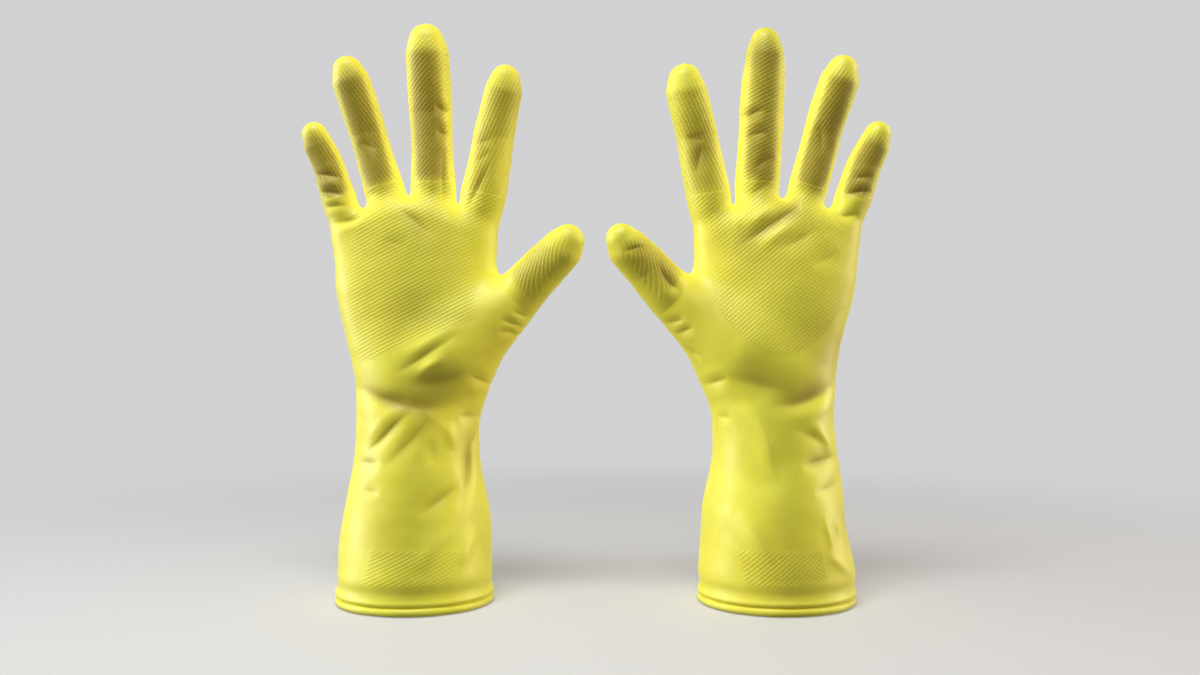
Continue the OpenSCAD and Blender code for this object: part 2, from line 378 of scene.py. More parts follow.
class Skin:
    """Points, faces of any number of corners, and the length of glove that each face belongs to."""

    def __init__(self, points, faces, lengths):
        self.points, self.faces, self.lengths = points, faces, lengths

    def refined(self, chosen):
        """The chosen faces in four, with the corners that this adds to their neighbours."""
        halves, points, faces, lengths = {}, [], [], []
        count = len(self.points)
        for face in itertools.compress(self.faces, chosen):
            for a, b in sides(face):
                if edge_key(a, b) not in halves:
                    halves[edge_key(a, b)] = count + len(points)
                    points.append((self.points[a] + self.points[b]) / 2)
        for face, picked, length in zip(self.faces, chosen, self.lengths):
            outline = []
            for a, b in sides(face):
                outline += [a, halves[edge_key(a, b)]] if edge_key(a, b) in halves else [a]
            if picked:
                middle = count + len(points)
                points.append(sum(self.points[i] for i in face) / len(face))
                faces += [[*outline[i:i + 2], middle, outline[i - 1]] for i in range(0, len(outline), 2)]
                lengths += [length] * len(face)
            else:
                faces.append(outline)
                lengths.append(length)
        return Skin(np.vstack([self.points, points]), faces, lengths), halves


base_points, base_quads = quad_skin(former, *GRID, CELL)
base_points = relax(settle(base_points)[0], base_quads, RELAX_ROUNDS)
base_points, base_faces = cut_skin(base_points, base_quads)
middles = np.array([base_points[face].mean(0) for face in base_faces])
base = Skin(base_points, base_faces, length_numbers(middles))
fine, base_halves = base.refined([True] * len(base.faces))
fine.points, fine_outward = settle(fine.points)


# ---------------------------------------------------------------- folds
# A worn glove creases where the hand flexes: across the heel of the hand, round the wrist, at the base
# of the thumb and at each finger's joints. A crease is sharp at its bottom, and has a soft roll beside
# its steeper side. Each fold is its depth, or its height below nought, its width to the left and to the
# right of the way it runs, and the places (x, z) that it runs through.
RIGHT_PALM = (
    (3.1, 13, 9, ((-34, 113.6), (-18, 108.5), (-5, 105), (6, 103.4), (18, 103.2), (33, 108))),
    (1.7, 7, 3.6, ((-35, 114), (-18, 108.5), (-7, 105.4), (2, 103.8))),
    (1.8, 9, 9, ((-8, 116.5), (8, 115), (22, 117), (37, 126))),
    (2.2, 2.8, 8, ((-25, 77.4), (-14, 86.5), (-6.5, 94), (3, 101))),
    (1.6, 3.6, 8, ((-13, 71.8), (-2, 82), (7.4, 92.4), (12, 98))),
    (1.1, 2.8, 3.4, ((-29, 74), (-13, 74.6))),
    (0.9, 3, 3, ((25, 98), (36.5, 96.8))),
    (1.9, 7, 3, ((26.5, 46), (28.5, 57), (31, 68), (31, 78), (33, 87), (35.5, 98))),
    (-1.2, 3.2, 3.2, ((23.7, 80), (19.6, 96))),
    (0.9, 4, 4, ((13, 73), (12.5, 87))),
    (1.9, 5.5, 4.4, ((6, 48), (17.6, 57.2), (28, 63))),
    (-1.4, 5, 3, ((8, 21), (16, 35), (24, 48))),
    (-0.9, 4, 4, ((26, 23), (34.5, 41))),
    (0.8, 3, 2.6, ((-25, 61), (-13, 59.8))),
    (1.4, 3.6, 3, ((-8, 118.5), (9, 129), (27, 141))),
    (-0.9, 2.4, 2.4, ((4, 119), (12, 124), (20.5, 128.5))),
    (-0.8, 3, 3, ((-4, 127), (12, 136), (27, 146.5))),
    (1.2, 2.4, 2.8, ((30, 118.8), (36, 116), (41.5, 112.3))),
    (1, 2, 2.2, ((45, 140.6), (51, 140.5), (57, 137.3))),
    (1.1, 2, 2.2, ((46, 147.3), (53, 144.8), (60, 142.2))),
    (0.7, 1.9, 2, ((52, 151.5), (57, 149.5), (63, 147.5))),
    (1.2, 5, 4.4, ((-9, 204.5), (-1, 200.8), (5, 196.2), (13, 190))),
    (0.5, 4, 4, ((-15, 189), (-1, 184.6))),
    (1.3, 2.6, 2.6, ((11.5, 257.5), (15.5, 256.2), (20, 254.6))),
    (1.2, 3, 3, ((12, 245), (16, 244), (20, 243))),
    (1.1, 2.6, 3.4, ((15.4, 203), (15.8, 222), (17, 241))),
    (0.8, 3.2, 3.4, ((31.5, 238.1), (43.5, 240.8))),
    (0.7, 3.2, 3.2, ((32, 228), (42.5, 235))),
    (1.1, 3, 2.6, ((27, 203), (35, 217), (42, 231))),
    (1, 3.4, 3.4, ((-20, 227), (-22, 241), (-24, 254))),
    (0.7, 2.4, 2.4, ((-28.5, 239), (-17, 235.4))),
    (1.4, 2.3, 2, ((-52, 223), (-35.5, 221.2))),
    (1.6, 2.2, 1.9, ((-50, 214), (-35.5, 212.3))),
    (1, 1.8, 1.8, ((-47, 205.8), (-33.5, 206.6))),
    (1.6, 2.8, 2.2, ((-43, 197.6), (-33, 199), (-24, 202.4))),
)
LEFT_PALM = (
    (3.2, 9.5, 3.4, ((-33, 115), (-20, 109), (-9, 105.2), (7, 103.4))),
    (2, 10, 8, ((-9, 110), (13, 114.5), (36, 119))),
    (-1.5, 3.2, 6, ((7, 64), (7.5, 81), (12, 94), (23, 107))),
    (1.3, 2.6, 3.2, ((27.5, 117.2), (34, 115.2), (41, 112.6))),
    (0.6, 2.4, 2.4, ((25, 97.3), (32, 96.8))),
    (-1.1, 3.2, 3.2, ((-27, 74), (-21.5, 86.5), (-11, 97))),
    (0.9, 4.2, 4.2, ((-27, 79), (-16, 87.3), (-3, 92))),
    (1.8, 4, 5, ((-32, 76.4), (-19, 75.3), (-9, 72.3))),
    (1.1, 4.2, 4.2, ((-32, 64.2), (-14.5, 59))),
    (0.8, 2.8, 2.8, ((-30.2, 32), (-24.8, 46))),
    (-1, 3, 3, ((-37, 17), (-28, 24), (-20.5, 31.5))),
    (-0.8, 2.4, 2.4, ((-25, 28), (-19.5, 50))),
    (-1.3, 3.2, 6, ((7.5, 25.5), (15, 38), (24, 50.5))),
    (1.5, 4.4, 3.8, ((-11, 206.4), (-4.5, 202.6), (9.7, 192.8), (24, 184.5))),
    (-0.9, 3, 3, ((0, 207.5), (19.5, 193.2))),
    (-1, 3.2, 3.2, ((-9, 198), (13, 183.5))),
    (0.9, 4, 4, ((-20, 194.3), (-10, 188.5), (3, 182))),
    (0.8, 4, 4, ((-31, 182.6), (-15, 173.4))),
    (1.2, 3.6, 3.6, ((43.4, 222), (39.6, 239))),
    (0.8, 2.4, 2.4, ((38.5, 239), (48.5, 242))),
    (1.3, 2.2, 2.4, ((7.5, 256.6), (14, 253.6), (20.5, 252.8))),
    (1.1, 2.6, 2.6, ((5.5, 244.2), (18, 242))),
    (0.8, 2.2, 2.2, ((2, 232.7), (13.5, 225))),
    (0.7, 2.2, 2.2, ((2.5, 221.2), (14.5, 211))),
    (1.1, 3.4, 3.4, ((-23.3, 232), (-20.4, 250))),
    (1.6, 2.2, 2, ((-49, 214.4), (-34, 212.6))),
    (1.4, 2.4, 2.2, ((-43, 201.8), (-30, 200.6))),
    (0.9, 2, 2, ((-50, 221.4), (-38, 220.7))),
    (1.2, 2.2, 2.2, ((69.5, 184.7), (81.5, 180.8))),
    (1.8, 3, 2.6, ((50.5, 162.6), (58, 166.8), (63, 178))),
    (1, 2, 2.2, ((49.5, 147.2), (61, 144.4))),
    (1, 2, 2.2, ((45, 143.2), (54.5, 139.3))),
    (0.9, 2, 2.2, ((40.5, 127), (49.5, 133.4))),
)
# The back of each hand creases at the wrist and over the knuckles
RIGHT_BACK = (
    (2.3, 2.2, 3.4, ((-28, 92), (-8, 97), (12, 95), (29, 88))),
    (1.6, 3, 2, ((-25, 106), (-6, 104), (11, 107.5))),
    (-1.1, 3.2, 3.2, ((-20, 99), (0, 101), (20, 99))),
    (1.5, 1.8, 2.6, ((5, 82), (22, 79), (32, 81.5))),
    (1.4, 2.6, 2, ((-31, 70.5), (-16, 66), (-3, 69.5))),
    (1.2, 3, 5, ((-4, 28), (6, 44), (19, 61))),
    (-1, 4, 3, ((-15, 22), (-20, 40), (-29, 57))),
    (1.2, 5, 5, ((24, 188), (28, 166), (41, 149))),
    (1.1, 2.4, 2, ((-35, 195.5), (-22, 200), (-9, 199))),
    (1, 2.4, 2, ((1, 203), (16, 204.3), (29, 198.6))),
    (-0.7, 5, 5, ((-20, 190), (-13, 160), (-8, 135))),
    (-0.7, 5, 5, ((9, 194), (7, 165), (5, 138))),
)
LEFT_BACK = (
    (2.3, 3.4, 2.2, ((-29, 97), (-9, 92), (10, 94), (28, 101))),
    (1.5, 1.8, 2.6, ((-7, 107.5), (10, 110), (31, 112.3))),
    (-1.1, 3.2, 3.2, ((-22, 103), (-4, 100), (14, 103))),
    (1.5, 2, 3, ((-32, 83.4), (-18, 80), (-5, 83.3))),
    (1.3, 3, 2.2, ((7, 71.5), (20, 66), (34, 68.4))),
    (1.2, 5, 3, ((-4, 27), (-8, 46), (-21, 59))),
    (-1, 3, 4, ((19, 20), (20, 38), (28, 53))),
    (1.2, 5, 5, ((27, 184), (30, 163), (42, 147))),
    (1.1, 2.4, 2, ((-34, 193.6), (-21, 197), (-8, 200.4))),
    (1, 2.4, 2, ((3, 199.8), (17, 202), (30, 195.4))),
    (-0.7, 5, 5, ((-22, 188), (-15, 158), (-9, 133))),
    (-0.7, 5, 5, ((8, 192), (6, 164), (6, 136))),
)
FRONT, BACK = -1, 1
FOLDS = {
    "right": ((RIGHT_PALM, FRONT), (RIGHT_BACK, BACK)),
    "left": ((LEFT_PALM, FRONT), (LEFT_BACK, BACK)),
}
SEEK = 60  # the film lies within this distance of the glove's middle plane
SEEK_ROUNDS = 14
PATH_STEPS = 15
FOLD_REACH = 4  # a fold is felt this many of its widths away
FOLD_FADE = 1.3  # how softly it dies away at its ends
STEEP, BLUNT, BLUNT_DROP = 1.5, 0.06, 0.245  # how steep a crease is, and how blunt at its bottom
ROLL = 0.16  # height of the roll beside a crease's steeper side, as a share of its depth
ROLL_PLACE, ROLL_WIDTH = 2.1, 0.9  # and where it lies and how wide it is, in widths of the crease
KNUCKLE_FOLDS = 2  # small creases over the back of each finger joint,
KNUCKLE_GAP = 5  # this far apart
# Each strays along the finger and round it, and has its own sweep round it, climb, width and depth
KNUCKLE_SPREADS = ((-1.2, 1.2), (-0.5, 0.5), (1.2, 2.2), (-2, 2), (1.2, 1.9), (0.35, 0.75))
SWELL = ((0.6, 55), (0.18, 30), (0.05, 13))  # slow unevenness of the film: height and wavelength
SWELL_WAVES = 4
SWELL_SPREAD = (0.8, 1.25)
LIP_Z = 5.9  # just above the bead the film stands out in a lip, with a groove under it
LIP_HEIGHT, LIP_WIDTH = 0.5, 1.2
NECK_Z = 10.5  # and draws in a little above the lip
NECK_DEPTH, NECK_WIDTH = 0.7, 3
GROOVE_DEPTH, GROOVE_DROP, GROOVE_WIDTH = 1, 0.8, 1.2
CALM = 12  # the folds die away over this distance above the lip


def on_former(x, z, side):
    """The former's surface straight in front of or behind a place."""
    outer, inner = np.full(len(x), side * float(SEEK)), np.zeros(len(x))
    for _ in range(SEEK_ROUNDS):
        y = (outer + inner) / 2
        hit = former(np.stack([x, y, z], 1)) < 0
        inner, outer = np.where(hit, y, inner), np.where(hit, outer, y)
    return np.stack([x, y, z], 1)


def path_on_skin(places, side):
    """A smooth path over the film through a few places."""
    places = np.array(places, float)
    shares = np.linspace(0, 1, len(places))
    steps = np.linspace(0, 1, PATH_STEPS)
    x, z = (np.polyval(np.polyfit(shares, places[:, i], len(places) - 1), steps) for i in (0, 1))
    return on_former(x, z, side)


def path_over_knuckle(stall, height, turn, sweep, climb):
    """A path part of the way round a finger, over its back."""
    steps = np.linspace(-0.5, 0.5, PATH_STEPS)
    angle = turn + steps * sweep
    name = stall.name
    past = height > stall.crease
    start, way = (stall.middle, stall.upward) if past else (stall.root, stall.along)
    middle = start + way * (height - (stall.crease if past else 0))
    radius = np.interp(height, (0, stall.crease), (ROOT_R[name], MIDDLE_R[name]))
    ring = np.outer(np.sin(angle), stall.across) + np.outer(np.cos(angle), stall.back)
    return middle + ring * radius + np.outer(steps * climb, way)


def fold_lift(points, path, depth, width_left, width_right):
    """How far one fold moves each point outwards."""
    lift = np.zeros(len(points))
    reach = FOLD_REACH * max(width_left, width_right)
    near = np.flatnonzero(((points > path.min(0) - reach) & (points < path.max(0) + reach)).all(1))
    if not len(near):
        return lift
    close, share, left = np.full(len(near), 1e9), np.zeros(len(near)), np.zeros(len(near), bool)
    for i, (a, b) in enumerate(zip(path[:-1], path[1:])):
        run, past = b - a, points[near] - a
        t = np.clip(past @ run / (run @ run + 1e-9), 0, 1)
        gap = np.linalg.norm(past - t[:, None] * run, axis=1)
        nearer = gap < close
        share = np.where(nearer, (i + t) / (len(path) - 1), share)
        left = np.where(nearer, past[:, 2] * run[0] > past[:, 0] * run[2], left)
        close = np.minimum(gap, close)
    fade = np.sin(np.pi * np.clip(share, 0, 1)) ** FOLD_FADE
    width = np.where(left, width_left, width_right)
    off = close / width
    if depth < 0:
        lift[near] = -depth * np.exp(-off ** 2) * fade
    else:
        valley = np.exp(-STEEP * (np.sqrt(off ** 2 + BLUNT) - BLUNT_DROP))
        roll = np.exp(-((off - ROLL_PLACE) / ROLL_WIDTH) ** 2)
        roll = roll * (min(width_left, width_right) / width) ** 2
        lift[near] = depth * (ROLL * roll - valley) * fade
    return lift


def swell_lift(points, seed):
    """How far the slow unevenness moves each point outwards."""
    rng = np.random.default_rng(seed)
    lift = np.zeros(len(points))
    for height, wavelength in SWELL:
        for _ in range(SWELL_WAVES):
            way = unit(rng.normal(size=3)) * 2 * np.pi / (wavelength * rng.uniform(*SWELL_SPREAD))
            lift += height / 2 * np.sin(points @ way + rng.uniform(0, 2 * np.pi))
    return lift


def creased(points, hand, seed):
    """How far the folds and the slow unevenness move each point of the film outwards."""
    lift = np.zeros(len(points))
    for folds, side in FOLDS[hand]:
        for depth, width_left, width_right, places in folds:
            lift += fold_lift(points, path_on_skin(places, side), depth, width_left, width_right)
    rng = np.random.default_rng(seed)
    for stall in stalls.values():
        for height in (0, stall.crease):
            for i in range(KNUCKLE_FOLDS):
                stray, turn, sweep, climb, width, depth = (rng.uniform(*spread) for spread in KNUCKLE_SPREADS)
                middle = height + (i - 0.5) * KNUCKLE_GAP + stray
                path = path_over_knuckle(stall, middle, turn, sweep, climb)
                lift += fold_lift(points, path, depth, width, width)
    z = points[:, 2]
    calm = np.clip((z - LIP_Z) / CALM, 0, 1)
    lip = LIP_HEIGHT * np.exp(-((z - LIP_Z) / LIP_WIDTH) ** 2)
    neck = NECK_DEPTH * np.exp(-((z - NECK_Z) / NECK_WIDTH) ** 2)
    groove = GROOVE_DEPTH * np.clip((LIP_Z - GROOVE_DROP - z) / GROOVE_WIDTH, 0, 1)
    return (lift + swell_lift(points, seed)) * calm + (lip - neck) - groove


# ---------------------------------------------------------------- the grip
# The palm side is embossed with a fine lattice of ridges, so that wet things don't slip: on the palm,
# on the pads of the fingers and thumb, and in a band across the front of the cuff.
GRIP = {
    "right": {"rise": 27.0, "cross": -45.0, "palm": (-37, 38), "slope": 0.386, "bow": 0, "band": (-23, 24)},
    "left": {"rise": -40.0, "cross": 30.0, "palm": (-38, 37), "slope": 0, "bow": 0.022, "band": (-24, 21)},
}
FINGER_RISE = {  # how steeply the ridges climb across each finger, in degrees
    "right": each_finger(-75, -68, 46, 75, -63),
    "left": each_finger(-75, -68, -32, 75, -63),
}
GRIP_PITCH = 1.78
GRIP_HEIGHT = 0.17
CROSS_SHARE = 0.35  # depth of the second family of grooves, as a share of the first
GRIP_SHARPNESS = 2.0  # above 1, the grooves are narrower than the ridges
PALM_FOOT = 128  # the palm's lattice starts at this height, at FOOT_X, and slopes or bows from there
FOOT_X = -15
PALM_EDGE = 10  # it dies away over this distance at the sides of the palm,
GRIP_EDGE = 2.6  # and over this one elsewhere
NARROW, NARROW_Z = 0.25, (122, 152)  # below this height its outer side draws in, at this slope
WIDEN, WIDEN_Z = 0.6, (187, 212)  # and above this one it widens towards the thumb
BAND_Z = (13, 33)
BAND_SLANT = 0.25
PAD_START = each_finger(1, 1, 1, 1, 9)  # each pad's lattice starts this far along from its root crease
PAD_SHADE = each_finger(1.15, 1.15, 1, 0.5, 0.5)  # and the painted shade on it is this strong
PAD_REACH = 7  # a finger's pad ends this far outside the finger's own radius
START_EDGE = 0.8  # the lattice turns the finger's own way over this distance,
TIP_RUN, TIP_EDGE = 3, 5  # and dies away this far past the middle of its round tip
PAD_SHADE_FOOT, PAD_SHADE_RUN, PAD_SHADE_EDGE = 6, 2, 12  # the painted shade starts below the pad and fades slowly
PALM_FACING = (0.35, 0.3)  # how squarely the film faces where the lattice starts, and how much more
PAD_FACING = (0.1, 0.5)  # squarely where it is at its full strength
# how squarely a finger's front must face for the painted shade on its pad, and how much more for its full
# strength
PAD_SHADE_FACING = (0.5, 0.5)


def rising(value, low, edge):
    """0 up to low, rising softly to 1 an edge's width past it."""
    share = np.clip((value - low) / edge, 0, 1)
    return share * share * (3 - 2 * share)


def between(value, low, high, edge):
    """1 well between low and high, falling to 0 at them."""
    return rising(np.minimum(value - low, high - value), 0, edge)


def grip_map(points, outward, hand):
    """How strong the lattice is at each point, where the point lies in it, and how strong the painted shade
    on the finger pads is.
    """
    own = GRIP[hand]
    x, z = points[:, 0], points[:, 2]
    foot = PALM_FOOT + own["slope"] * (x - FOOT_X) + own["bow"] * x ** 2
    outer_side = own["palm"][0] + NARROW * (NARROW_Z[1] - np.clip(z, *NARROW_Z))
    thumb_side = own["palm"][1] + WIDEN * (np.clip(z, *WIDEN_Z) - WIDEN_Z[0])
    palm = between(x, outer_side, thumb_side, PALM_EDGE) * rising(z, foot, GRIP_EDGE)
    band = between(x - BAND_SLANT * (z - BAND_Z[0]), *own["band"], GRIP_EDGE)
    band = band * between(z, *BAND_Z, GRIP_EDGE)
    strength = np.maximum(palm, band) * rising(-outward[:, 1], *PALM_FACING)
    place = np.stack([x, z], 1)
    deep = np.zeros(len(points))
    own_finger = nearest_finger(points)
    for number, (name, stall) in enumerate(stalls.items()):
        run, gap = stall.run_and_gap(points)
        side = (points - stall.root) @ stall.across
        length = np.dot(stall.tip - stall.root, stall.along)
        facing = outward @ -stall.back
        start = PAD_START[name]
        on_it = (own_finger == number) & (run > start - PAD_SHADE_FOOT) & (gap < ROOT_R[name] + PAD_REACH)
        on_pad = on_it & (run > start)
        pad = rising(facing, *PAD_FACING) * rising(run, start, START_EDGE)
        pad = pad * rising(length + TIP_RUN - run, 0, TIP_EDGE)
        fading = strength * (1 - rising(run, start - START_EDGE, START_EDGE))
        strength = np.where(on_pad, pad, np.where(on_it, fading, strength))
        turn = math.radians(own["rise"] - FINGER_RISE[hand][name])
        turned = np.stack([
            side * math.cos(turn) - run * math.sin(turn),
            side * math.sin(turn) + run * math.cos(turn)], 1)
        place = np.where(on_pad[:, None], turned, place)
        # painted shade on the finger pads, strongest where they face the front
        pad_shading = rising(facing, *PAD_SHADE_FACING) * between(run, start - PAD_SHADE_FOOT, length + PAD_SHADE_RUN, PAD_SHADE_EDGE)
        deep = np.where(on_it, pad_shading * PAD_SHADE[name], deep)
    return strength, place, deep


class Wiring:
    """Makes and joins the nodes of one tree."""

    def __init__(self, tree):
        self.new, self.link = tree.nodes.new, tree.links.new

    def fed(self, kind, slots, values, **settings):
        """A new node with numbers, colours or other nodes' sockets put into some of its slots."""
        node = self.new(kind)
        for name, setting in settings.items():
            setattr(node, name, setting)
        for slot, value in zip(slots, values):
            if isinstance(value, bpy.types.NodeSocket):
                self.link(value, node.inputs[slot])
            else:
                node.inputs[slot].default_value = value
        return node

    def maths(self, operation, *values):
        return self.fed("ShaderNodeMath", range(3), values, operation=operation).outputs[0]


def emboss_tree():
    """Raises a lattice of two families of ridges along the normals, as strong as the grip attribute."""
    tree = bpy.data.node_groups.new("emboss grip", "GeometryNodeTree")
    wiring = Wiring(tree)
    maths = wiring.maths

    def socket(name, kind, value=None, in_out="INPUT"):
        made = tree.interface.new_socket(name, in_out=in_out, socket_type="NodeSocket" + kind)
        if value is not None:
            made.default_value = value

    def attribute(name, kind):
        return wiring.fed("GeometryNodeInputNamedAttribute", ["Name"], [name], data_type=kind).outputs[0]

    socket("Geometry", "Geometry")
    for name, value in (
            ("Pitch", GRIP_PITCH / MM), ("Height", GRIP_HEIGHT / MM), ("Rise", 0.0), ("Cross", 0.0),
            ("Cross Share", CROSS_SHARE), ("Sharpness", GRIP_SHARPNESS)):
        socket(name, "Float", value)
    socket("Film", "Material")
    socket("Geometry", "Geometry", in_out="OUTPUT")
    given = wiring.new("NodeGroupInput").outputs
    flat = wiring.fed("ShaderNodeSeparateXYZ", [0], [attribute("lattice", "FLOAT_VECTOR")]).outputs

    def grooves(angle):
        turn = maths("RADIANS", angle)
        along_z = maths("MULTIPLY", flat["Y"], maths("COSINE", turn))
        across = maths("SUBTRACT", along_z, maths("MULTIPLY", flat["X"], maths("SINE", turn)))
        wave = maths("COSINE", maths("DIVIDE", maths("MULTIPLY", across, 2 * math.pi), given["Pitch"]))
        return maths("POWER", maths("MULTIPLY_ADD", wave, -0.5, 0.5), given["Sharpness"])

    cut = maths("MULTIPLY", grooves(given["Cross"]), given["Cross Share"])
    ridges = maths("SUBTRACT", 1.0, grooves(given["Rise"]))
    pattern = maths("MULTIPLY", ridges, maths("SUBTRACT", 1.0, cut))
    lift = maths("MULTIPLY", maths("MULTIPLY", pattern, given["Height"]), attribute("grip", "FLOAT"))
    normal = wiring.new("GeometryNodeInputNormal").outputs[0]
    rise = wiring.fed("ShaderNodeVectorMath", [0, "Scale"], [normal, lift], operation="SCALE").outputs[0]
    moved = wiring.fed("GeometryNodeSetPosition", ["Geometry", "Offset"], [given["Geometry"], rise])
    real = wiring.fed("GeometryNodeRealizeInstances", [0], [moved.outputs[0]])
    slots = ("Geometry", "Material")
    finish = wiring.fed("GeometryNodeSetMaterial", slots, (real.outputs[0], given["Film"]))
    wiring.link(finish.outputs[0], wiring.new("NodeGroupOutput").inputs[0])
    return tree


# ---------------------------------------------------------------- latex and flock
# The film is lemon-yellow latex with a soft wax-like shine. Painted shade makes it deeper in colour in its
# creases, on the finger pads and in the grooves of its grip, painted highlight makes it paler where it stands
# out, and it has random pale mottling and the faint orange-peel skin that dipping leaves.
LEMON = (0.62, 0.60, 0.042, 1)
GOLD = (0.63, 0.54, 0.036, 1)
PALE = (0.76, 0.74, 0.12, 1)
# the colour of painted shade
SHADE_OLIVE = (0.27, 0.21, 0.008, 1)
WARM_SHARE = 0.42  # how far each effect goes towards its own colour, at the most
MOTTLE_SHARE = 0.14
# how far painted shade and painted highlight go towards their colours, at the most
PAINTED_SHADE_SHARE = 0.9
PAINTED_HIGHLIGHT_SHARE = 0.3
CLOUD, MOTTLE, SMEAR, PEEL, GRAIN, CLUMP = 14, 160, 55, 420, 1900, 900  # how fine each is, to the metre
GLOSS = (0.42, 0.56)  # roughness where the shine is best and worst,
GRIP_MATT = 0.08  # and how much rougher the lattice is
GRAIN_SHARE = 0.35
FLOCK_DARK = (0.74, 0.66, 0.24, 1)
FLOCK_LIGHT = (0.90, 0.85, 0.52, 1)


class Paint(Wiring):
    """The wiring of a finish, with the kinds of node that finishes are made of."""

    def ramp(self, value, low, high, to_low=0.0, to_high=1.0):
        slots = ("Value", "From Min", "From Max", "To Min", "To Max")
        return self.fed(
            "ShaderNodeMapRange", slots, (value, low, high, to_low, to_high),
            interpolation_type="SMOOTHSTEP").outputs["Result"]

    def noise(self, place, scale, detail, rough=0.5):
        slots = ("Vector", "Scale", "Detail", "Roughness")
        return self.fed("ShaderNodeTexNoise", slots, (place, scale, detail, rough)).outputs["Fac"]

    def mixed(self, share, a, b):
        return self.fed("ShaderNodeMix", (0, 6, 7), (share, a, b), data_type="RGBA").outputs[2]

    def relief(self, shader, height, strength, distance):
        slots = ("Height", "Strength", "Distance")
        bump = self.fed("ShaderNodeBump", slots, (height, strength, distance))
        self.link(bump.outputs["Normal"], shader.inputs["Normal"])


def latex_group():
    """Colour with painted shade and painted highlight, roughness and fine relief of dipped latex."""
    tree = bpy.data.node_groups.new("dipped latex", "ShaderNodeTree")
    paint = Paint(tree)
    for name, kind, value in (
            ("Base", "Color", LEMON), ("Warm", "Color", GOLD), ("Pale Mottle and Painted Highlight", "Color", PALE),
            ("Painted Shade", "Color", SHADE_OLIVE), ("Painted_Light_And_Shade", "Float", 0.0), ("Grip", "Float", 0.0)):
        made = tree.interface.new_socket(name, in_out="INPUT", socket_type="NodeSocket" + kind)
        made.default_value = value
    for name, kind in (("Color", "Color"), ("Roughness", "Float"), ("Height", "Float")):
        tree.interface.new_socket(name, in_out="OUTPUT", socket_type="NodeSocket" + kind)
    given = paint.new("NodeGroupInput").outputs
    result = paint.new("NodeGroupOutput").inputs
    place = paint.new("ShaderNodeTexCoord").outputs["Object"]
    cloud = paint.noise(place, CLOUD, 2)
    mottle = paint.noise(place, MOTTLE, 4, 0.6)
    colour = given["Base"]
    for share, other in (
            (paint.ramp(cloud, 0.38, 0.68, 0, WARM_SHARE), "Warm"),
            (paint.ramp(mottle, 0.35, 0.7, 0, MOTTLE_SHARE), "Pale Mottle and Painted Highlight"),
            # painted shade in creases, grooves and on the finger pads, and painted highlight where the film
            # stands out
            (paint.ramp(given["Painted_Light_And_Shade"], 0, 1.15, 0, PAINTED_SHADE_SHARE), "Painted Shade"),
            (paint.ramp(given["Painted_Light_And_Shade"], -0.9, -0.1, PAINTED_HIGHLIGHT_SHARE, 0), "Pale Mottle and Painted Highlight")):
        colour = paint.mixed(share, colour, given[other])
    paint.link(colour, result["Color"])
    gloss = paint.ramp(paint.noise(place, SMEAR, 3), 0.3, 0.7, *GLOSS)
    paint.link(paint.maths("MULTIPLY_ADD", given["Grip"], GRIP_MATT, gloss), result["Roughness"])
    peel, grain = paint.noise(place, PEEL, 2), paint.noise(place, GRAIN, 2)
    paint.link(paint.maths("MULTIPLY_ADD", grain, GRAIN_SHARE, peel), result["Height"])
    return tree


def new_material(name, **settings):
    """A new material, its wiring, and its shader with some sockets set."""
    material = bpy.data.materials.new(name)
    material.use_nodes = True
    shader = material.node_tree.nodes["Principled BSDF"]
    for socket, value in settings.items():
        shader.inputs[socket.replace("_", " ")].default_value = value
    return material, Paint(material.node_tree), shader


def latex_material(name, relief):
    material, paint, shader = new_material(
        name, Subsurface_Weight=0.12, Subsurface_Radius=(1.0, 0.8, 0.15), Subsurface_Scale=0.004,
        Specular_IOR_Level=0.4, Coat_Weight=0.06, Coat_Roughness=0.28)
    group = paint.fed("ShaderNodeGroup", (), (), node_tree=LATEX)
    # the painted light and shade and the grip's strength come from the film's attributes
    for field in ("painted_light_and_shade", "grip"):
        attribute = paint.fed("ShaderNodeAttribute", (), (), attribute_name=field)
        paint.link(attribute.outputs["Fac"], group.inputs[field.title()])
    paint.link(group.outputs["Color"], shader.inputs["Base Color"])
    paint.link(group.outputs["Roughness"], shader.inputs["Roughness"])
    paint.relief(shader, group.outputs["Height"], relief, 0.0002)
    return material


def flock_material():
    """Short cotton fibres blown into the wet latex: matt, pale and slightly clumped."""
    material, paint, shader = new_material(
        "cotton flock", Roughness=0.9, Sheen_Weight=0.5, Sheen_Roughness=0.6)
    clump = paint.noise(paint.new("ShaderNodeTexCoord").outputs["Object"], CLUMP, 4, 0.7)
    colour = paint.mixed(paint.ramp(clump, 0.3, 0.7), FLOCK_DARK, FLOCK_LIGHT)
    paint.link(colour, shader.inputs["Base Color"])
    paint.relief(shader, clump, 0.6, 0.0003)
    return material


LATEX = latex_group()
FILM = latex_material("latex film", 0.25)
FLOCK = flock_material()

# ---------------------------------------------------------------- the lengths of film
# Each glove's film in thirteen lengths: the cuff, the wrist, the hand, and two for every finger.
# Outside and flocked inside meet at the cut ends.
HANDS = {"right": 1, "left": -1}
SEEDS = {"right": 5, "left": 12}
EMBOSS = emboss_tree()
CREASE_SHADE = 0.4  # painted shade: how much darker the film is for each millimetre that a fold goes in, and painted highlight where it stands out
GROOVE_SHADE = 0.34  # and painted shade in the grooves of the grip
SHARP_FOLD = 0.3  # the mesh is finer where the film rises or falls by more than this across a face,
FINE_GRIP = 0.15  # and where the lattice is stronger than this


def ribbon(halves, finer, a, b):
    """The points of the finest mesh along one edge of the coarse one."""
    def split(level, p, q):
        middle = level.get(edge_key(p, q))
        return [p, q] if middle is None else [p, middle, q]

    p, middle, q = split(halves, a, b)
    return split(finer, p, middle) + split(finer, middle, q)[1:]


def put_in_scene(name, data):
    thing = bpy.data.objects.new(name, data)
    scene.collection.objects.link(thing)
    return thing


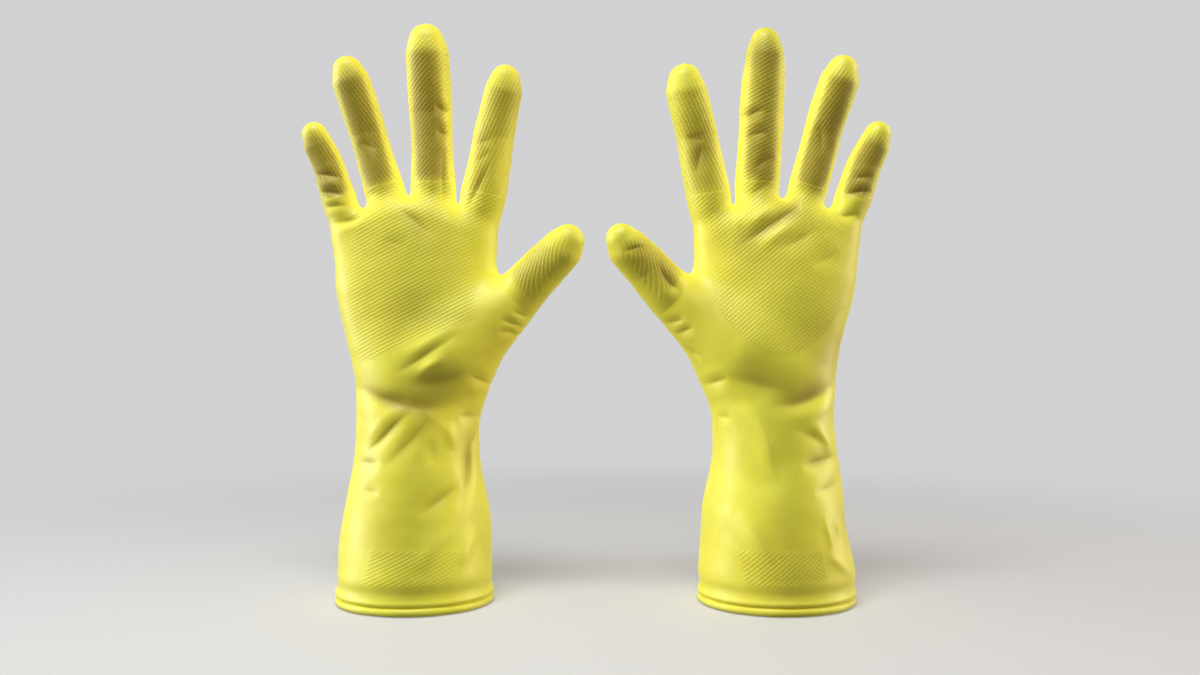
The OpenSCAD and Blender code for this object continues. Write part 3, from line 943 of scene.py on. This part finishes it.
def embossed(hand, points, faces, strength, lattice):
    """Raises the grip on the film's outer face, and gives its points, its normals and its height."""
    mesh = bpy.data.meshes.new("film")
    mesh.from_pydata(points.tolist(), [], faces, shade_flat=False)
    flat = np.zeros((len(points), 3))
    flat[:, :2] = lattice / MM
    mesh.attributes.new("lattice", "FLOAT_VECTOR", "POINT").data.foreach_set("vector", flat.ravel())
    mesh.attributes.new("grip", "FLOAT", "POINT").data.foreach_set("value", strength)
    film = put_in_scene("film", mesh)
    modifier = film.modifiers.new("emboss", "NODES")
    modifier.node_group = EMBOSS
    own = {"Rise": GRIP[hand]["rise"], "Cross": GRIP[hand]["cross"], "Film": FILM}
    for item in EMBOSS.interface.items_tree:
        if item.in_out == "INPUT" and item.name in own:
            modifier[item.identifier] = own[item.name]
    evaluated = film.evaluated_get(bpy.context.evaluated_depsgraph_get())
    raised = bpy.data.meshes.new_from_object(evaluated)
    result, normals = np.zeros((2, len(points) * 3))
    raised.vertices.foreach_get("co", result)
    raised.vertex_normals.foreach_get("vector", normals)
    film.modifiers.remove(modifier)
    bpy.data.objects.remove(film)
    bpy.data.meshes.remove(mesh)
    bpy.data.meshes.remove(raised)
    result = result.reshape(-1, 3)
    return result, normals.reshape(-1, 3), np.linalg.norm(result - points, axis=1) * MM


def placed(points, hand):
    """Points of the right-hand former, in metres, where this hand's glove stands."""
    low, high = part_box(f"{hand}_cuff_bead")
    return (points * (HANDS[hand], 1, 1)) / MM + ((low.x + high.x) / 2, 0, 0)


def film_lengths(hand):
    """The film of one glove, as one object for each of its lengths."""
    strength = grip_map(fine.points, fine_outward, hand)[0]
    rough = creased(fine.points, hand, SEEDS[hand])
    skin, finer_halves = fine.refined([
        strength[face].max() > FINE_GRIP or np.ptp(rough[face]) > SHARP_FOLD for face in fine.faces])
    skin.points, outward = settle(skin.points, 1)
    strength, lattice, pad_shade = grip_map(skin.points, outward, hand)
    lift = creased(skin.points, hand, SEEDS[hand])
    outer = placed(skin.points + outward * lift[:, None], hand)
    turned = slice(None, None, HANDS[hand])
    faces = [face[turned] for face in skin.faces]
    outer, outer_normals, raised = embossed(hand, outer, faces, strength, lattice)
    count = len(base.points)
    inner = placed(skin.points[:count] + outward[:count] * (lift[:count, None] - WALL), hand)
    inner_normals = -outward[:count] * (HANDS[hand], 1, 1)
    points = np.concatenate([outer, inner])
    normals = np.concatenate([outer_normals, inner_normals])
    # painted shade, darker in the creases, on the finger pads and in the grip's grooves; where a fold stands
    # out it turns negative, a painted highlight
    deep = CREASE_SHADE * -lift + pad_shade + GROOVE_SHADE * (strength - raised / GRIP_HEIGHT)
    painted_light_and_shade = np.concatenate([deep, np.zeros(count)])
    grip = np.concatenate([strength, np.zeros(count)])
    offset = len(outer)
    face_lengths = np.array(skin.lengths)
    base_lengths = np.array(base.lengths)
    pieces = {}
    for number, length in enumerate(LENGTHS):
        outside = [faces[i] for i in np.flatnonzero(face_lengths == number)]
        inside_base = [base.faces[i] for i in np.flatnonzero(base_lengths == number)]
        edges = {side for face in inside_base for side in sides(face)}
        inside = [[offset + i for i in face[::-1]][turned] for face in inside_base]
        ends = []
        for a, b in edges:
            if (b, a) not in edges:
                along = ribbon(base_halves, finer_halves, a, b)
                ends.append((along[::-1] + [offset + a, offset + b])[turned])
        everything = outside + inside + ends
        used, local = np.unique(np.concatenate(everything), return_inverse=True)
        cuts = np.cumsum([len(face) for face in everything])[:-1]
        corners = [part.tolist() for part in np.split(local, cuts)]
        mesh = bpy.data.meshes.new(f"{hand}_{length}_film")
        mesh.from_pydata(points[used].tolist(), [], corners, shade_flat=False)
        mesh.materials.append(FILM)
        mesh.materials.append(FLOCK)
        kinds = np.repeat((0, 1, 0), (len(outside), len(inside), len(ends)))
        mesh.polygons.foreach_set("material_index", kinds.astype(np.int32))
        for name, values in (("painted_light_and_shade", painted_light_and_shade), ("grip", grip)):
            mesh.attributes.new(name, "FLOAT", "POINT").data.foreach_set("value", values[used])
        loop_normals = normals[used][local]
        loop_normals[len(local) - sum(len(face) for face in ends):] = 0
        mesh.normals_split_custom_set(loop_normals)
        pieces[length] = put_in_scene(mesh.name, mesh)
    return pieces


for hand in HANDS:
    pieces = film_lengths(hand)
    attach(pieces["cuff"], f"{hand}_cuff")
    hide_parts(f"{hand}_cuff", f"{hand}_cuff_lining")
    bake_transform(pieces["wrist"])
    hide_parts(f"{hand}_wrist_crease")
    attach(pieces["hand"], f"{hand}_hand")
    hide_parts(f"{hand}_hand", f"{hand}_hand_lining")
    for name, stall in stalls.items():
        whole = f"{hand}_{name}"
        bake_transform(pieces[f"{name}_lower"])
        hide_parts(f"{whole}_lower", f"{whole}_creases", f"{whole}_lining")
        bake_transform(pieces[f"{name}_upper"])
        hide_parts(f"{whole}_upper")

# ---------------------------------------------------------------- the rolled bead
# While the latex is still wet its edge is rolled down on itself into a thick ring, which keeps the cuff
# open and stops it tearing. The glove stands on it.
BEAD_SEGMENTS = 300
BEAD_SIDES = 22
BEAD_WAVE = 0.22  # how far the roll wanders in and out
BEAD_LOBES = (2, 3, 5, 8)
BEAD_LUMPS = ((7, 0.04), (13, 0.03))  # how many times round it thickens, and by what share
BEAD_TUCK = 0.6  # how far it sits in from the widest it may be
BEAD_SPREAD = 0.15  # how much thicker it is than half its height
BEAD = latex_material("rolled bead", 0.3)

for hand in HANDS:
    low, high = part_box(f"{hand}_cuff_bead")
    centre_x = (low.x + high.x) / 2
    tall = (high.z - low.z) * MM
    roll = tall / 2 + BEAD_SPREAD
    ring = (high.x - low.x) / 2 * MM - roll - BEAD_TUCK
    rng = np.random.default_rng(SEEDS[hand])
    around = np.linspace(0, 2 * np.pi, BEAD_SEGMENTS, endpoint=False)
    section = np.linspace(0, 2 * np.pi, BEAD_SIDES, endpoint=False)
    phases = rng.uniform(0, 2 * np.pi, len(BEAD_LOBES))
    wander = sum(np.sin(around * lobes + phase) for lobes, phase in zip(BEAD_LOBES, phases))
    wander = wander / len(BEAD_LOBES) * BEAD_WAVE
    thick = np.ones(BEAD_SEGMENTS)
    for (lumps, share), phase in zip(BEAD_LUMPS, phases):
        thick += share * np.sin(around * lumps + phase)
    thick *= roll
    out = (ring + wander)[:, None] + thick[:, None] * np.cos(section)
    up = np.maximum(tall - roll + thick[:, None] * np.sin(section), 0)
    points = np.stack([
        centre_x + out * np.cos(around)[:, None] / MM, out * np.sin(around)[:, None] / MM, up / MM], -1)
    step, turn = np.meshgrid(np.arange(BEAD_SEGMENTS), np.arange(BEAD_SIDES), indexing="ij")
    step, turn = step.ravel(), turn.ravel()
    next_step, next_turn = (step + 1) % BEAD_SEGMENTS, (turn + 1) % BEAD_SIDES
    corners = [step * BEAD_SIDES + turn, next_step * BEAD_SIDES + turn,
               next_step * BEAD_SIDES + next_turn, step * BEAD_SIDES + next_turn]
    mesh = bpy.data.meshes.new(f"{hand}_rolled_bead")
    mesh.from_pydata(points.reshape(-1, 3).tolist(), [], np.stack(corners, 1).tolist(), shade_flat=False)
    mesh.materials.append(BEAD)
    bead = put_in_scene(mesh.name, mesh)
    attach(bead, f"{hand}_cuff")
    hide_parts(f"{hand}_cuff_bead")

# ---------------------------------------------------------------- the studio
# A plain pale floor that runs back out of sight, soft lamps at both sides and above, and a level view
# of both palms.
FLOOR_SIZE = 12
FLOOR_DROP = 0.0004
FLOOR_PAINT = (0.50, 0.50, 0.505, 1)
FLOOR_SHADE = (0.14, 0.14, 0.14, 1)  # how dark it is for the light that it throws back on the gloves
BACKGROUND = (0.64, 0.64, 0.65, 1)
ROOM_LIGHT = (0.10, 0.10, 0.105, 1)  # the light that the room itself throws on the gloves
FLOOR_FADE = (0.22, 0.75)  # distances over which the floor fades into the background, where it is seen


def where_seen(paint):
    """1 for light that reaches the view straight, off a shine or through something clear, else 0."""
    rays = paint.new("ShaderNodeLightPath").outputs
    seen = paint.maths("MAXIMUM", rays["Is Camera Ray"], rays["Is Glossy Ray"])
    return paint.maths("MAXIMUM", seen, rays["Is Transmission Ray"])


mesh = bpy.data.meshes.new("floor")
half = FLOOR_SIZE / 2
mesh.from_pydata(
    [(x * half, y * half, -FLOOR_DROP) for x, y in ((-1, -1), (1, -1), (1, 1), (-1, 1))],
    [], [(0, 1, 2, 3)])
floor = put_in_scene("floor", mesh)
material, paint, shader = new_material("pale floor", Roughness=0.7)
seen = where_seen(paint)
paint.link(paint.mixed(seen, FLOOR_SHADE, FLOOR_PAINT), shader.inputs["Base Color"])
place = paint.new("ShaderNodeTexCoord").outputs["Object"]
distance = paint.fed("ShaderNodeVectorMath", [0], [place], operation="LENGTH").outputs["Value"]
fade = paint.maths("MULTIPLY", paint.ramp(distance, *FLOOR_FADE), seen)
glow = paint.fed("ShaderNodeEmission", ["Color"], [BACKGROUND]).outputs[0]
faded = paint.fed("ShaderNodeMixShader", range(3), (fade, shader.outputs[0], glow)).outputs[0]
paint.link(faded, material.node_tree.nodes["Material Output"].inputs["Surface"])
mesh.materials.append(material)

world = bpy.data.worlds.new("studio")
scene.world = world
world.use_nodes = True
paint = Paint(world.node_tree)
paint.link(
    paint.mixed(where_seen(paint), ROOM_LIGHT, BACKGROUND),
    world.node_tree.nodes["Background"].inputs["Color"])


def softbox(name, place, size, watts, colour=(1, 1, 1), shadow=True):
    """A flat lamp that faces the gloves."""
    lamp = bpy.data.lights.new(name, "AREA")
    lamp.shape = "RECTANGLE"
    lamp.size, lamp.size_y = size
    lamp.energy = watts
    lamp.color = colour
    lamp.use_shadow = shadow
    box = put_in_scene(name, lamp)
    box.location = place
    box.rotation_euler = (Vector(LAMP_AIM) - Vector(place)).to_track_quat("-Z", "Y").to_euler()


# The side lamps throw no shadows, so that neither glove stands in the other's light
LAMP_AIM = (0, 0, 0.16)
softbox("left softbox", place=(-1.7, -0.04, 0.56), size=(0.7, 1.5), watts=37, shadow=False)
softbox(
    "right softbox", place=(1.7, 0.16, 0.50), size=(0.6, 1.5), watts=28,
    colour=(1.0, 0.88, 0.70), shadow=False)
softbox("top softbox", place=(-0.15, -0.52, 1.10), size=(0.6, 0.4), watts=12.5)

VIEW_PLACE = (0.0023, -0.632, 0.138)
LENS = 36
camera = put_in_scene("camera", bpy.data.cameras.new("camera"))
camera.data.lens = camera.data.sensor_width = LENS
camera.data.clip_start = 0.01
camera.location = VIEW_PLACE
camera.rotation_euler = (math.pi / 2, 0, 0)
scene.camera = camera
scene.view_settings.view_transform = "Standard"
